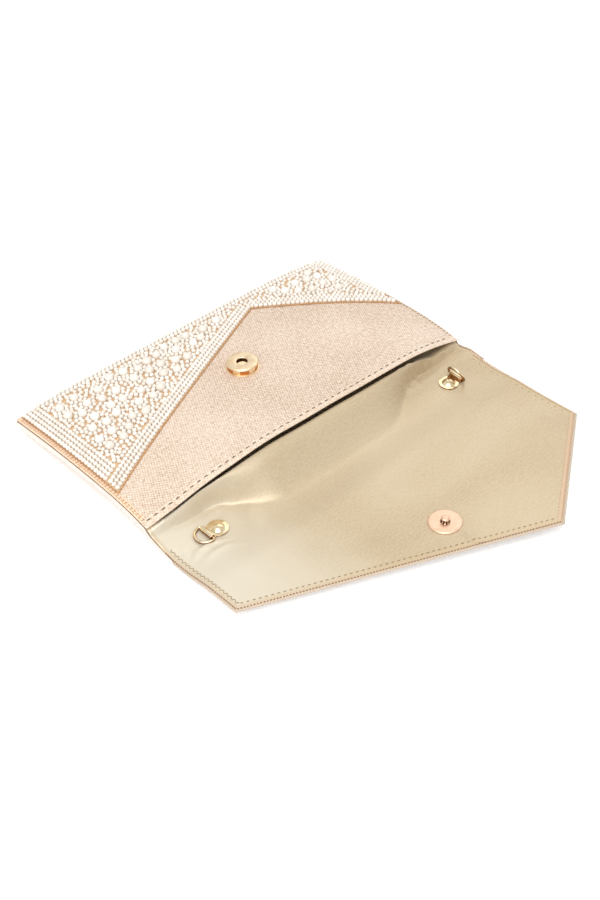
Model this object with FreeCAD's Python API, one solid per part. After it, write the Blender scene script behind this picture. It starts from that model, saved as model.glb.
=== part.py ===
import FreeCAD, Part
import math
import os

# Envelope clutch purse, open on its back. Millimetres, +Z up.
# Origin: on the flat underside of the back panel, at mid width, under the mouth edge.
# +X runs along the width, +Y from the mouth to the closed bottom edge, the flap lies towards -Y.

V = FreeCAD.Vector

# ---------------------------------------------------------------- driving dimensions
WIDTH = 240.0
PANEL_DEPTH = 120.0        # front panel, mouth edge to bottom edge
COVER = 0.5                # outer fabric, glued to its board
BOARD = 1.0                # stiffening board in each panel
LINING = 0.4               # satin lining
SIDE_SEAM = 1.0            # turned-in seam allowance between the two panels
SEAM_REACH = 2.5           # how far in the side seam reaches

# stuffed shape of the front panel, heights of its outer face above the table
MOUTH_HEIGHT = 16.8        # middle of the mouth edge
BOTTOM_HEIGHT = 13.2       # middle of the bottom edge
CROWN = 2.4                # extra height half way between them
CROWN_POWER = 4.5          # how square the crown is across the width
SIDE_HEIGHT = {-1: 10.0, 1: 8.0}     # left and right edges, at both corners
SIDE_SWELL = {-1: 5.5, 1: 5.0}       # how much those edges arch up between the corners
FLAT_HALF = 70.0           # the back panel lies flat this far each side of the middle
LIFT_POWER = 2.5           # how fast its outer parts curl up to the side seams

# bare V on the front panel, outlined by an edging cord, with beadwork beyond it
V_LEFT_Y = 25.0
V_TIP = (43.5, 103.0)
V_RIGHT_Y = 43.0
CORD_WIDTH = 1.4
CORD_HEIGHT = 1.2
BEAD_HEIGHT = 4.4          # the largest pearl
BEAD_MARGIN = 3.0          # bare fabric left along the side edges
BEAD_FAR_MARGIN = 0.3      # and along the closed bottom edge
MOUTH_BINDING = 0.5        # turned edge of the mouth
GUSSET_WALL = 2.0          # closed bottom edge

# the two creases that fold the flap over: the narrow spine lies between them
CREASE_1 = (-9.85, 1.0)    # (y, z)
SPINE_WIDTH = 22.0
CREASE_2 = (CREASE_1[0] - SPINE_WIDTH, 3.7)
CREASE_GAP = 1.5           # boards and cloths stop this far from a crease
SPINE_COVER = 0.4
SPINE_STIFFENER = 0.6

# flap, an asymmetric pentagon that slopes gently up to its tip
FLAP_SLOPE = 0.042
FLAP_LEFT_Y = -71.0
FLAP_TIP = (43.0, -144.0)
FLAP_RIGHT_Y = -91.5
FLAP_BINDING = 1.0
FLAP_BEAD_START = 11.0     # beadwork begins this far from the second crease
FLAP_BEAD_INSET = 1.5

# magnetic snap
SNAP_X = -0.5
SNAP_MALE_Y = -100.0
CASE_RADIUS = 9.45
CASE_HEIGHT = 4.4
CASE_WALL = 0.6
CASE_ROUND = 0.7
SOCKET_RADIUS = 3.25
SOCKET_WALL = 0.4
BASE_RADIUS = 9.9
BASE_HEIGHT = 0.5
BASE_SINK = 0.45           # the panel slopes this much across the casing
PLATE_RADIUS = 9.25
PLATE_THICK = 0.9
PLATE_ROUND = 0.3
STUD_RADIUS = 2.6
STUD_HEIGHT = 2.6
STUD_ROUND = 0.5
SNAP_WASHER_RADIUS = 7.5
SNAP_WASHER = 0.4
LEG_WIDTH = 3.0
LEG_THICK = 0.6
LEG_OFFSET = 4.8

# D-rings and the plates that carry them, one at each end of the spine
RING_WIRE = 0.75           # wire radius
RING_RADIUS = 6.0          # bow radius to the wire's centre
RING_CORNER = 1.1
LOOP_BORE = 0.83           # radius
PLATE_STRAP = 0.7
LOOP_HALF = 4.5
HEAD_RADIUS = 6.0
HEAD_REACH = 7.0           # bar to rivet
RIVET_RADIUS = 4.0
RIVET_DOME = 1.6
SHANK_RADIUS = 1.2
RIVET_WASHER_RADIUS = 3.5
RIVET_WASHER = 0.3
# side sign: bar x, bar y, angle of the ring above the table
RINGS = {
    "left": (-1, -94.0, -18.0, -4.0),
    "right": (1, 98.0, -19.0, 112.0),
}

# ---------------------------------------------------------------- worked-out values
HALF = WIDTH / 2
STACK = COVER + BOARD + LINING
EDGE_THICK = 2 * STACK + SIDE_SEAM
SPINE_TOP = SPINE_COVER + SPINE_STIFFENER + LINING
FLAP_ANGLE = math.degrees(math.atan(FLAP_SLOPE))
CLOSED_REACH = (CREASE_2[1] - CREASE_1[1]) + CREASE_1[0]
SNAP_REACH = (CREASE_2[0] - SNAP_MALE_Y) / math.cos(math.radians(FLAP_ANGLE))
SNAP_Y = CLOSED_REACH + SNAP_REACH     # where the stud lands when the flap is closed
LOOP_OUTER = LOOP_BORE + PLATE_STRAP
BAR_Z = SPINE_TOP + LOOP_OUTER
GRID = 8.0                 # spacing of the points that the curved faces pass through
BEYOND = 20.0              # cutting shapes reach this far past what they cut
TALL = 40.0                # and cutting prisms are this high


# ---------------------------------------------------------------- curved panels
def side_height(side, y):
    """Height of a side edge of the front panel: arched between its corners."""
    along = max(y, 0.0) / PANEL_DEPTH
    return SIDE_HEIGHT[side] + SIDE_SWELL[side] * math.sin(math.pi * along ** 0.6)


def front_face(x, y):
    """Height of the outer face of the front panel."""
    along = y / PANEL_DEPTH
    middle = MOUTH_HEIGHT + (BOTTOM_HEIGHT - MOUTH_HEIGHT) * along
    middle += CROWN * math.sin(math.pi * along)
    side = side_height(-1 if x < 0 else 1, y)
    return middle - (middle - side) * abs(x / HALF) ** CROWN_POWER


def back_face(x, y):
    """Height of the underside of the back panel: flat, curled up towards the side seams."""
    out = (abs(x) - FLAT_HALF) / (HALF - FLAT_HALF)
    if out <= 0:
        return 0.0
    lift = side_height(-1 if x < 0 else 1, y) - EDGE_THICK
    if y < 0:
        lift *= 1 - y / CREASE_1[0]
    return lift * out ** LIFT_POWER


def steps(low, high):
    count = max(4, int(round((high - low) / GRID)))
    return [low + (high - low) * i / count for i in range(count + 1)]


def curved_sheet(face, offset, thick, x_range, y_range):
    """A sheet of even height: the face plus an offset, extruded straight up."""
    xs, ys = steps(*x_range), steps(*y_range)
    surface = Part.BSplineSurface()
    surface.interpolate([[V(x, y, face(x, y) + offset) for y in ys] for x in xs])
    return surface.toShape().extrude(V(0, 0, thick))


def box(x_range, y_range, z_range):
    size = [r[1] - r[0] for r in (x_range, y_range, z_range)]
    return Part.makeBox(*size, V(x_range[0], y_range[0], z_range[0]))


def prism(points, low, high):
    loop = [V(x, y, low) for x, y in points]
    return Part.Face(Part.makePolygon(loop + loop[:1])).extrude(V(0, 0, high - low))


def grown(points, by):
    """The polygon moved outwards (or inwards) by a distance, with its corners kept sharp."""
    loop = [V(x, y, 0) for x, y in points]
    wire = Part.makePolygon(loop + loop[:1]).makeOffset2D(by, 2)
    return [(v.X, v.Y) for v in wire.OrderedVertexes]


def front_layer(offset, thick, y_range=(MOUTH_BINDING, PANEL_DEPTH)):
    return curved_sheet(front_face, offset, thick, (-HALF, HALF), y_range)


def back_layer(offset, thick):
    """Flat middle slab with a curled wing on each side, as one solid."""
    y_range = (CREASE_1[0] + CREASE_GAP, PANEL_DEPTH)
    slab = box((-FLAT_HALF, FLAT_HALF), y_range, (offset, offset + thick))
    wings = [
        curved_sheet(back_face, offset, thick, x_range, y_range)
        for x_range in ((-HALF, -FLAT_HALF), (FLAT_HALF, HALF))
    ]
    return slab.fuse(wings).removeSplitter()


def disc(radius, low, high, x=0.0, y=0.0):
    return Part.makeCylinder(radius, high - low, V(x, y, low))


def snap_legs(low, high, y):
    """The two flat legs that fold behind the board."""
    x_range = (SNAP_X - LEG_WIDTH / 2, SNAP_X + LEG_WIDTH / 2)
    legs = []
    for side in (-1, 1):
        middle = y + side * LEG_OFFSET
        legs.append(box(x_range, (middle - LEG_THICK / 2, middle + LEG_THICK / 2), (low, high)))
    return legs


# ---------------------------------------------------------------- pouch
def pouch():
    nodes = {}
    nodes["back_cover"] = back_layer(0, COVER)
    nodes["back_board"] = back_layer(COVER, BOARD)
    nodes["back_lining"] = back_layer(COVER + BOARD, LINING)

    lining = front_layer(-STACK, LINING)
    board = front_layer(LINING - STACK, BOARD)
    cover = front_layer(-COVER, COVER)

    seam = back_layer(STACK, SIDE_SEAM).cut(lining)
    rows = (MOUTH_BINDING, PANEL_DEPTH)
    heights = (0, TALL)
    for name, x_range in (
        ("side_seam_left", (-HALF, SEAM_REACH - HALF)),
        ("side_seam_right", (HALF - SEAM_REACH, HALF)),
    ):
        nodes[name] = seam.common(box(x_range, rows, heights))

    inner = (SEAM_REACH - HALF, HALF - SEAM_REACH)
    wall = box(inner, (PANEL_DEPTH - GUSSET_WALL, PANEL_DEPTH), heights)
    above_back = back_layer(STACK, BEYOND)
    below_front = front_layer(-STACK - BEYOND, BEYOND)
    nodes["bottom_gusset"] = wall.common(above_back).common(below_front)

    nodes["mouth_binding"] = front_layer(-STACK, STACK, y_range=(0.0, MOUTH_BINDING))

    left_rise = (V_TIP[1] - V_LEFT_Y) / (V_TIP[0] + HALF)
    right_rise = (V_TIP[1] - V_RIGHT_Y) / (HALF - V_TIP[0])
    bare = [
        (-HALF - BEYOND, -BEYOND),
        (-HALF - BEYOND, V_LEFT_Y - BEYOND * left_rise),
        V_TIP,
        (HALF + BEYOND, V_RIGHT_Y - BEYOND * right_rise),
        (HALF + BEYOND, -BEYOND),
    ]
    edged = grown(bare, CORD_WIDTH)
    far = PANEL_DEPTH - BEAD_FAR_MARGIN
    beaded = box((BEAD_MARGIN - HALF, HALF - BEAD_MARGIN), (0, far), heights)
    beads = front_layer(0, BEAD_HEIGHT).common(beaded)
    nodes["front_bead_field"] = beads.cut(prism(edged, 0, TALL))
    strip = prism(edged, 0, TALL).cut(prism(bare, 0, TALL)).common(beaded)
    nodes["v_edge_cord"] = front_layer(0, CORD_HEIGHT).common(strip)

    nodes.update(snap_female(cover, board))
    tools = [nodes["snap_female_base"], nodes["snap_female_washer"]]
    nodes["front_cover"] = cover.cut(tools)
    nodes["front_board"] = board.cut(tools)
    nodes["front_lining"] = lining
    return nodes


def snap_female(cover, board):
    """Round casing with a magnet inside, on a base whose legs pass through to a washer."""
    seat = front_face(SNAP_X, SNAP_Y)
    base_top = seat + BASE_HEIGHT
    top = seat + CASE_HEIGHT
    outside = disc(CASE_RADIUS, base_top, top, SNAP_X, SNAP_Y)
    rim = [e for e in outside.Edges if e.BoundBox.ZMin > top - 0.01 and e.Length > 1]
    rim = [e for e in rim if isinstance(e.Curve, Part.Circle)]
    outside = outside.makeFillet(CASE_ROUND, rim)
    inside = disc(CASE_RADIUS - CASE_WALL, base_top, top - CASE_WALL, SNAP_X, SNAP_Y)
    sleeve = disc(SOCKET_RADIUS + SOCKET_WALL, base_top, top, SNAP_X, SNAP_Y)
    socket = disc(SOCKET_RADIUS, base_top, top, SNAP_X, SNAP_Y)
    case = outside.cut(inside.cut(sleeve)).cut(socket)
    magnet = inside.cut(sleeve)
    washer_low = seat - STACK + LINING + BASE_SINK
    washer_top = washer_low + SNAP_WASHER
    legs = snap_legs(washer_low, base_top, SNAP_Y)
    washer = disc(SNAP_WASHER_RADIUS, washer_low, washer_top, SNAP_X, SNAP_Y).cut(legs)
    flange = disc(BASE_RADIUS, seat - BASE_SINK, base_top, SNAP_X, SNAP_Y)
    flange = flange.cut([cover, board])
    flange = max(flange.Solids, key=lambda s: s.CenterOfMass.z)
    base = flange.fuse(legs).removeSplitter()
    return {
        "snap_female_case": case,
        "snap_female_magnet": magnet,
        "snap_female_base": base,
        "snap_female_washer": washer,
    }


# ---------------------------------------------------------------- spine
def ring_path(axis_x, axis_y, out):
    """Closed D: a straight bar along Y, two small corners and a round bow."""
    turn = math.sqrt(0.5) * RING_CORNER
    far = RING_CORNER
    half_bar = RING_RADIUS - RING_CORNER

    def at(reach, y):
        return V(axis_x + out * reach, axis_y + y, BAR_Z)

    return Part.Wire([
        Part.LineSegment(at(0, -half_bar), at(0, half_bar)).toShape(),
        Part.Arc(at(0, half_bar), at(far - turn, half_bar + turn), at(far, RING_RADIUS)).toShape(),
        Part.Arc(at(far, RING_RADIUS), at(far + RING_RADIUS, 0), at(far, -RING_RADIUS)).toShape(),
        Part.Arc(at(far, -RING_RADIUS), at(far - turn, -half_bar - turn), at(0, -half_bar)).toShape(),
    ])


def d_ring(out, axis_x, axis_y, angle):
    path = ring_path(axis_x, axis_y, out)
    circle = Part.Circle(V(axis_x, axis_y, BAR_Z), V(0, 1, 0), RING_WIRE)
    circle.Center = V(axis_x, axis_y - (RING_RADIUS - RING_CORNER), BAR_Z)
    ring = path.makePipeShell([Part.Wire(circle.toShape())], True, True)
    ring.rotate(V(axis_x, axis_y, BAR_Z), V(0, -out, 0), angle)
    return ring


def ring_plate(out, axis_x, axis_y):
    """Flat strap with a round head, rolled into a loop round the ring's bar."""
    rivet_x = axis_x - out * HEAD_REACH
    y_range = (axis_y - LOOP_HALF, axis_y + LOOP_HALF)
    low, high = SPINE_TOP, SPINE_TOP + PLATE_STRAP
    strap = box(sorted((axis_x, rivet_x)), y_range, (low, high))
    head = disc(HEAD_RADIUS, low, high, rivet_x, axis_y)
    start = V(axis_x, y_range[0], BAR_Z)
    roll = Part.makeCylinder(LOOP_OUTER, 2 * LOOP_HALF, start, V(0, 1, 0))
    bore = Part.makeCylinder(LOOP_BORE, 2 * LOOP_HALF, start, V(0, 1, 0))
    hole = disc(SHANK_RADIUS, low, high, rivet_x, axis_y)
    return strap.fuse([head, roll]).removeSplitter().cut([bore, hole])


def rivet(out, axis_x, axis_y):
    rivet_x = axis_x - out * HEAD_REACH
    top = SPINE_TOP + PLATE_STRAP
    ball = (RIVET_RADIUS ** 2 + RIVET_DOME ** 2) / (2 * RIVET_DOME)
    dome = Part.makeSphere(ball, V(rivet_x, axis_y, top + RIVET_DOME - ball))
    dome = dome.common(disc(RIVET_RADIUS + 1, top, top + RIVET_DOME + 1, rivet_x, axis_y))
    return dome.fuse(disc(SHANK_RADIUS, SPINE_COVER, top, rivet_x, axis_y)).removeSplitter()


def spine():
    rows = (CREASE_2[0] + CREASE_GAP, CREASE_1[0] - CREASE_GAP)
    across = (-HALF, HALF)
    stiff_top = SPINE_COVER + SPINE_STIFFENER
    stiffener = box(across, rows, (SPINE_COVER, stiff_top))
    lining = box(across, rows, (stiff_top, SPINE_TOP))
    nodes = {"spine_cover": box(across, rows, (0, SPINE_COVER))}
    for side, (out, axis_x, axis_y, angle) in RINGS.items():
        rivet_x = axis_x - out * HEAD_REACH
        stud = rivet(out, axis_x, axis_y)
        washer_top = SPINE_COVER + RIVET_WASHER
        washer = disc(RIVET_WASHER_RADIUS, SPINE_COVER, washer_top, rivet_x, axis_y).cut(stud)
        stiffener = stiffener.cut([stud, washer])
        lining = lining.cut(stud)
        nodes["d_ring_plate_" + side] = ring_plate(out, axis_x, axis_y)
        nodes["rivet_" + side] = stud
        nodes["rivet_washer_" + side] = washer
        nodes["d_ring_" + side] = d_ring(out, axis_x, axis_y, angle)
    nodes["spine_stiffener"] = stiffener
    nodes["spine_lining"] = lining
    return nodes


# ---------------------------------------------------------------- flap
def placed(shape):
    """From the flap's own plane (lining face at z = 0) to its place beyond the second crease."""
    shape.rotate(V(0, 0, 0), V(1, 0, 0), -FLAP_ANGLE)
    shape.translate(V(0, *CREASE_2))
    return shape


def flap_outline(fold_y):
    """Corners of the flap in its own plane, from the fold edge round the tip."""
    def along(y):
        return (y - CREASE_2[0]) / math.cos(math.radians(FLAP_ANGLE))

    return [
        (-HALF, fold_y),
        (HALF, fold_y),
        (HALF, along(FLAP_RIGHT_Y)),
        (FLAP_TIP[0], along(FLAP_TIP[1])),
        (-HALF, along(FLAP_LEFT_Y)),
    ]


def flap():
    fold = -CREASE_GAP
    outer = flap_outline(fold)
    inner = grown(flap_outline(fold + FLAP_BINDING), -FLAP_BINDING)
    board_top = -LINING
    board_low = -LINING - BOARD
    nodes = {}
    nodes["flap_edge_binding"] = prism(outer, -STACK, 0).cut(prism(inner, -STACK - 1, 1))
    nodes["flap_cover"] = prism(inner, -STACK, board_low)

    along = -SNAP_REACH
    washer = disc(SNAP_WASHER_RADIUS, board_low, board_low + SNAP_WASHER, SNAP_X, along)
    legs = snap_legs(board_low, PLATE_THICK, along)
    plate = disc(PLATE_RADIUS, 0, PLATE_THICK, SNAP_X, along)
    edge = [e for e in plate.Edges if isinstance(e.Curve, Part.Circle) and e.BoundBox.ZMin > 0.1]
    plate = plate.makeFillet(PLATE_ROUND, edge).fuse(legs).removeSplitter()
    stud = disc(STUD_RADIUS, PLATE_THICK, PLATE_THICK + STUD_HEIGHT, SNAP_X, along)
    tip = [e for e in stud.Edges if isinstance(e.Curve, Part.Circle)
           and e.BoundBox.ZMin > PLATE_THICK + 0.1]
    nodes["snap_male_stud"] = stud.makeFillet(STUD_ROUND, tip)
    nodes["snap_male_plate"] = plate
    nodes["snap_male_washer"] = washer.cut(legs)
    nodes["flap_board"] = prism(inner, board_low, board_top).cut([washer] + legs)
    nodes["flap_lining"] = prism(inner, board_top, 0).cut(legs)

    beaded = grown(flap_outline(FLAP_BEAD_INSET - FLAP_BEAD_START), -FLAP_BEAD_INSET)
    nodes["flap_bead_field"] = prism(beaded, -STACK - BEAD_HEIGHT, -STACK)
    nodes = {name: placed(shape) for name, shape in nodes.items()}
    under = box((-WIDTH, WIDTH), (-WIDTH, WIDTH), (-BEYOND, 0))
    nodes["flap_bead_field"] = nodes["flap_bead_field"].cut(under)
    return nodes


# ---------------------------------------------------------------- export
def single(shape):
    return shape.Solids[0] if len(shape.Solids) == 1 else shape


os.makedirs("parts", exist_ok=True)
for name, shape in {**pouch(), **spine(), **flap()}.items():
    body = single(shape)
    bounds = body.BoundBox
    print(f"{name:20s} solids {len(body.Solids)} valid {body.isValid()} cm3 {body.Volume / 1000:7.3f}"
          f" z {bounds.ZMin:6.2f} {bounds.ZMax:6.2f} y {bounds.YMin:7.2f} {bounds.YMax:7.2f}")
    body.exportStep(f"parts/{name}.step")
print("closing angles", 90.0, 90.0 - FLAP_ANGLE, "snap y", SNAP_Y, "bar z", BAR_Z)
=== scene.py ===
import math
import random

import bmesh
import bpy
import numpy as np
from mathutils import Matrix, Vector


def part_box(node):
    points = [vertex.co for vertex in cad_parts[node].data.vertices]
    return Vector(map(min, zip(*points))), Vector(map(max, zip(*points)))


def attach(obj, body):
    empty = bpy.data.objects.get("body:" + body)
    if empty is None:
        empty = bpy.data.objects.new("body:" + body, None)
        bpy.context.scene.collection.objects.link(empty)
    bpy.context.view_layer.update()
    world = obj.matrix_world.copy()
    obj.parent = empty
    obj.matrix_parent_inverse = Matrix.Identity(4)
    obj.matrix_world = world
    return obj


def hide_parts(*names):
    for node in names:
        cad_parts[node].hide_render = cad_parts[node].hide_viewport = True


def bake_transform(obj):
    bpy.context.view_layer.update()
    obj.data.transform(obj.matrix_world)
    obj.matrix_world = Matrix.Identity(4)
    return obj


# Envelope clutch purse, open on its back. The frame is the CAD model's: +X along the width, +Y from
# the mouth to the closed bottom edge, the flap towards -Y, +Z up. Lengths below are in millimetres.

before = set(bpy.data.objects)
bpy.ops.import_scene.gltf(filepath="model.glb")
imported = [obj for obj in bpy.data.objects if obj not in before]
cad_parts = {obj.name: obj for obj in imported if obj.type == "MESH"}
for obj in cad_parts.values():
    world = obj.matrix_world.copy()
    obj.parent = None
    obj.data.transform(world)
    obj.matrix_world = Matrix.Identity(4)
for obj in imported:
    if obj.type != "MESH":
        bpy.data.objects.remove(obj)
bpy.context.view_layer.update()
MM = 0.001


def node_box(name):
    """Low and high corners of a CAD piece, in millimetres."""
    low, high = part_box(name)
    return np.array(low) / MM, np.array(high) / MM


# ---------------------------------------------------------------- camera
CAMERA_PLACE = (-0.390217, -0.415201, 0.501190)  # metres
CAMERA_ANGLES = (42.377, 41.798, -0.589)  # azimuth, elevation and roll, degrees
CAMERA_LENS = 53.53


def add_camera():
    """The studio camera: above the left end of the flap, looking down along the purse."""
    azimuth, elevation, roll = (math.radians(a) for a in CAMERA_ANGLES)
    ahead = Vector((math.sin(azimuth) * math.cos(elevation),
                    math.cos(azimuth) * math.cos(elevation),
                    -math.sin(elevation)))
    level = Vector((math.cos(azimuth), -math.sin(azimuth), 0))
    upright = level.cross(ahead)
    right = math.cos(roll) * level + math.sin(roll) * upright
    up = -math.sin(roll) * level + math.cos(roll) * upright
    data = bpy.data.cameras.new("camera")
    data.lens = CAMERA_LENS
    data.sensor_width = 36
    data.clip_start = 0.01
    data.clip_end = 20
    camera = bpy.data.objects.new("camera", data)
    turn = Matrix((right, up, -ahead)).transposed().to_4x4()
    camera.matrix_world = Matrix.Translation(CAMERA_PLACE) @ turn
    bpy.context.scene.collection.objects.link(camera)
    bpy.context.scene.camera = camera


add_camera()

# ---------------------------------------------------------------- sizes
HALF = float(node_box("front_cover")[1][0])  # half the width
DEPTH = float(node_box("front_cover")[1][1])  # mouth to closed bottom edge
STACK = 1.9  # cover, board and lining of one panel
EDGE_THICK = 4.8  # the pouch at its side seams
CLOTH = 0.35  # thicknesses
SATIN = 0.25
NETTING = 0.1
SPINE_TOP = float(node_box("spine_lining")[1][2])
CREASE_1_Y = -9.85
CREASE_2_Y = -31.85
SPLIT_Y = (CREASE_1_Y + CREASE_2_Y) / 2  # cloths are joined half way across the spine
FLAP_ZERO = 3.7  # lining height at the second crease
FLAP_SLOPE = 0.042
V_TIP = (43.5, 103.0)  # the bare V on the front
V_LEFT_Y = 25.0
V_RIGHT_Y = 43.0
TIP = (43.0, float(node_box("flap_edge_binding")[0][1]))
LEFT_Y = -71.0  # the flap's corners
RIGHT_Y = -91.5
FLAP_BEADS_Y = -42.0  # beadwork under the flap begins here
STITCH_Y = 3.6  # the hem's row of stitches
HEM = 5.3
FRONT_THICK = 1.4  # the front panel at its edges
FRONT_INSET = 0.65  # its sides lie inside the outer cloth's lip
BEAD_SIDE = 3.7  # bare cloth along the sides of the beadwork
CORD_ROOM = 0.9  # between the V's edge and its beadwork
FOLD_IN = 1.6  # outer cloths turn over this far from the edge
LINING_IN = 2.3
TIP_LEAN = 1.12  # how far a line 1 mm inside lies behind the tip
UV_SCALE = 0.01  # UVs run this far for each millimetre


def smooth(t):
    """A soft step from 0 to 1."""
    t = np.clip(t, 0, 1)
    return t * t * (3 - 2 * t)


# ---------------------------------------------------------------- the surfaces that cloths follow
SIDE_LOW = (10.0, 8.0)  # height of the left and the right side edge at their ends
SIDE_SWELL = (5.5, 5.0)  # how much higher they are in between
SIDE_PRESS = 1.2  # the sides are pressed down this much at the mouth
MOUTH_TOP = 16.8  # the front panel's height at the mouth
FRONT_FALL = 3.6  # how much lower it is at the far edge
FRONT_CROWN = 2.4  # how much it rises in between
BACK_FLAT = 70  # the back panel lies flat out to here
CURL_FROM = 103  # its right end curls up from here, near the spine
CURL_RISE = 4.6
HEM_RISE = 0.42
GROOVE = 0.5  # both the depth and the half width of the stitched groove
BILLOW_START = 9.5  # the satin starts to rise this far in front of the mouth
BILLOW_MORE = 18  # and this much further in the middle


def side_height(x, y):
    """Height of the front panel's side edges, arched between the corners."""
    along = np.clip(y, 0, DEPTH) / DEPTH
    base = np.where(x < 0, *SIDE_LOW)
    swell = np.where(x < 0, *SIDE_SWELL)
    return base + swell * np.sin(np.pi * along ** 0.6)


MOUTH_BUMPS = (  # (x, reach, rise)
    (-102, 18, -1.0),
    (-34, 40, 3.3),
    (26, 40, 1.7),
    (80, 18, 1.1),
)


def mouth_wave(x, y):
    """The mouth edge isn't straight: it stands open in the middle and sags at its ends."""
    wave = 0.15 * np.sin(x / 7.3)
    for at, reach, rise in MOUTH_BUMPS:
        wave += rise * np.exp(-((x - at) / reach) ** 2)
    return wave * np.exp(-(np.clip(y, 0, None) / 30) ** 1.5)


def front_side(x, y):
    """Side edges of the front panel: pressed down a little towards the mouth."""
    return side_height(x, y) - SIDE_PRESS * (1 - smooth((y - 40) / 60))


def front_top(x, y):
    """Outer face of the stuffed front panel."""
    along = y / DEPTH
    middle = MOUTH_TOP - FRONT_FALL * along + FRONT_CROWN * np.sin(np.pi * np.clip(along, 0, 1))
    square = np.clip(np.abs(x / HALF), 0, 1) ** 4.5
    return middle - (middle - front_side(x, y)) * square + mouth_wave(x, y) + hem(y)


def hem(y):
    """The turned hem stands proud of the cloth, with a groove where it is stitched."""
    raised = HEM_RISE * (1 - smooth((y - 4.6) / 1.3))
    groove = GROOVE * np.exp(-((y - STITCH_Y) / GROOVE) ** 2)
    return raised - groove


def back_low(x, y):
    """Underside of the back panel: flat, with its ends curled up to the side seams."""
    out = np.clip((np.abs(x) - BACK_FLAT) / (HALF - BACK_FLAT), 0, 1)
    fade = np.clip(1 + np.minimum(y, 0) / 21, 0, 1) ** 1.3
    curl = CURL_RISE * np.clip((x - CURL_FROM) / (HALF - CURL_FROM), 0, 1) ** 1.6
    curl = curl * smooth((2 - y) / 14) * np.exp(-(np.minimum(y + 14, 0) / 30) ** 2)
    return (side_height(x, y) - EDGE_THICK) * fade * out ** 2.5 + curl


def flap_share(y):
    """How far the level of the cloth has gone over from the back's to the flap's."""
    return smooth((-24 - y) / 28)


def lining_top(x, y):
    """Upper face of the satin, from inside the pouch over the spine to the flap."""
    flat = STACK + (SPINE_TOP - STACK) * smooth((-7 - y) / 5)
    flap = FLAP_ZERO - (y - CREASE_2_Y) * FLAP_SLOPE
    share = flap_share(y)
    return flat * (1 - share) + flap * share + back_low(x, y)


def ridge(x, y, points, width, height):
    """A soft fold of the satin along a line of points, fading at its ends."""
    points = np.asarray(points, float)
    best = np.full(np.shape(x), 1e9)
    share = np.zeros(np.shape(x))
    parts = len(points) - 1
    for k in range(parts):
        a, b = points[k], points[k + 1]
        run = b - a
        t = np.clip(((x - a[0]) * run[0] + (y - a[1]) * run[1]) / (run @ run), 0, 1)
        gap = np.hypot(x - a[0] - t * run[0], y - a[1] - t * run[1])
        nearer = gap < best
        best = np.where(nearer, gap, best)
        share = np.where(nearer, (k + t) / parts, share)
    return height * np.exp(-(best / width) ** 2) * np.sin(np.pi * np.clip(share, 0.02, 0.98))


SATIN_FOLDS = (  # (points, width, height)
    (((-114, -29), (-105, -24), (-95, -24), (-86, -30)), 1.5, 1.1),
    (((-112, -34), (-101, -30), (-91, -31), (-83, -38)), 2.0, 0.8),
    (((-78, -2), (-77, -12), (-80, -22)), 2.6, 0.7),
    (((-68, -4), (-66, -18), (-71, -32), (-70, -48)), 4.8, 0.7),
    (((-114, -9), (-111, -18), (-114, -27)), 1.6, 0.8),
    (((-90, -42), (-84, -55), (-74, -66)), 1.5, 0.4),
    (((3, -107), (1, -117), (0, -128)), 1.9, 1.0),
    (((66, 1), (70, -5), (67, -12)), 1.6, 1.2),
    (((73, 2), (77, -5), (75, -13)), 1.8, 1.4),
)


def satin_folds(x, y):
    """Folds where the satin is loose, mostly round the left ring and the mouth's ends."""
    return sum(ridge(x, y, *fold) for fold in SATIN_FOLDS)


MOUTH_GAPS = (  # (x, gap)
    (-120, 0.1), (-84, 0.15), (-76, 0.9), (-66, 1.3), (-45, 1.6), (-20, 1.9), (66, 1.9),
    (74, 2.0), (84, 3.2), (96, 4.9), (106, 2.6), (113, 0.4), (120, 0.2),
)


def mouth_gap(x):
    """How far the satin lies under the mouth edge."""
    return np.interp(x, *zip(*MOUTH_GAPS))


def billow(x, y):
    """The satin swells up to just under the mouth edge and falls away inside."""
    crest = front_top(x, 0 * y) - FRONT_THICK - 0.1 - mouth_gap(x)
    base = STACK + back_low(x, 0 * y)
    start = BILLOW_START + BILLOW_MORE * (1 - smooth((np.abs(x + 4) - 40) / 34))
    # the rings need room here when the purse is shut
    start = start - np.where(x > 0, 6.7, 6.0) * smooth((np.abs(x) - 58) / 28)
    climb = smooth((y + start) / (start - 0.7))
    pocket = 1 - 0.55 * smooth((x - 78) / 6)
    fall = 1 - pocket * smooth((y + 0.9) / 7) - (1 - pocket) * smooth((y - 2) / 30)
    return np.clip(crest - base, 0, None) * climb * fall


def lining_face(x, y):
    """The satin's visible face, with its billow and folds."""
    return lining_top(x, y) + billow(x, y) + satin_folds(x, y)


def outer_low(x, y):
    """Lower face of the outer cloth, on the same way."""
    flap = FLAP_ZERO - (y - CREASE_2_Y) * FLAP_SLOPE - STACK
    return flap * flap_share(y) + back_low(x, y)


def two_edges(x, left_y, tip, right_y):
    """Two straight edges that meet at a tip, as y over x."""
    left = left_y + (tip[1] - left_y) * (x + HALF) / (tip[0] + HALF)
    right = right_y + (tip[1] - right_y) * (HALF - x) / (HALF - tip[0])
    return np.where(x < tip[0], left, right)


def tip_edge(x):
    """The flap's slanting edges."""
    return two_edges(x, LEFT_Y, TIP, RIGHT_Y)


def v_edge(x):
    """The edge of the beadwork on the front panel."""
    return two_edges(x, V_LEFT_Y, V_TIP, V_RIGHT_Y)


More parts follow.
